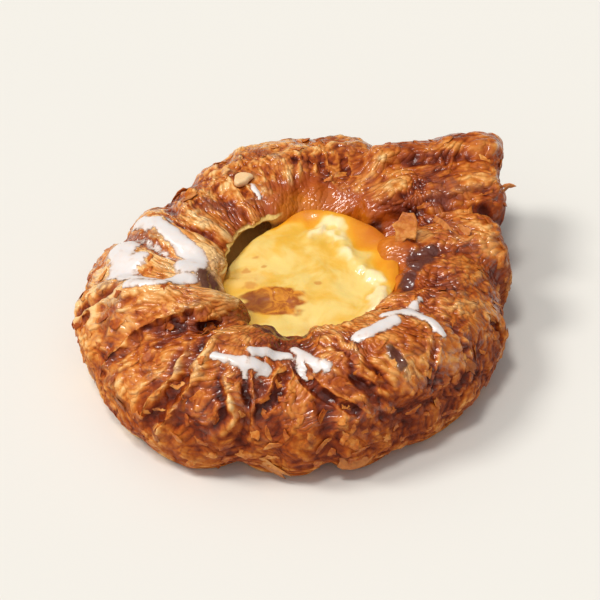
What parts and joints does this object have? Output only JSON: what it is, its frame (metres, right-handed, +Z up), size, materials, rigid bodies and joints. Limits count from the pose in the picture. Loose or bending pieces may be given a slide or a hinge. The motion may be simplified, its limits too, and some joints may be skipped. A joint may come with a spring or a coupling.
{
  "type": "danish pastry",
  "caption": "Ring-shaped Danish pastry: a twisted rope of laminated dough baked round a pool of custard, with icing, glaze and loose flakes.",
  "frame": {"origin": "middle of the pastry's box, on the table it rests on", "axes": "+Z up, +X to the right of the ring along its longest side, with the rope's two ends pointing to +X and +Y"},
  "size_m": [0.1212, 0.1164, 0.0368],
  "materials": {
    "crust": "baked laminated dough, brown and flaky, glazed in places",
    "custard": "set egg custard, glossy, browned in spots",
    "icing": "white sugar icing, run thin and set with a soft shine",
    "nut": "pale chopped almond",
    "flakes": "thin, brown, papery flakes of crust"
  },
  "bodies": {
    "root": {"dough": "crust", "custard": "custard"}
  },
  "joints": []
}
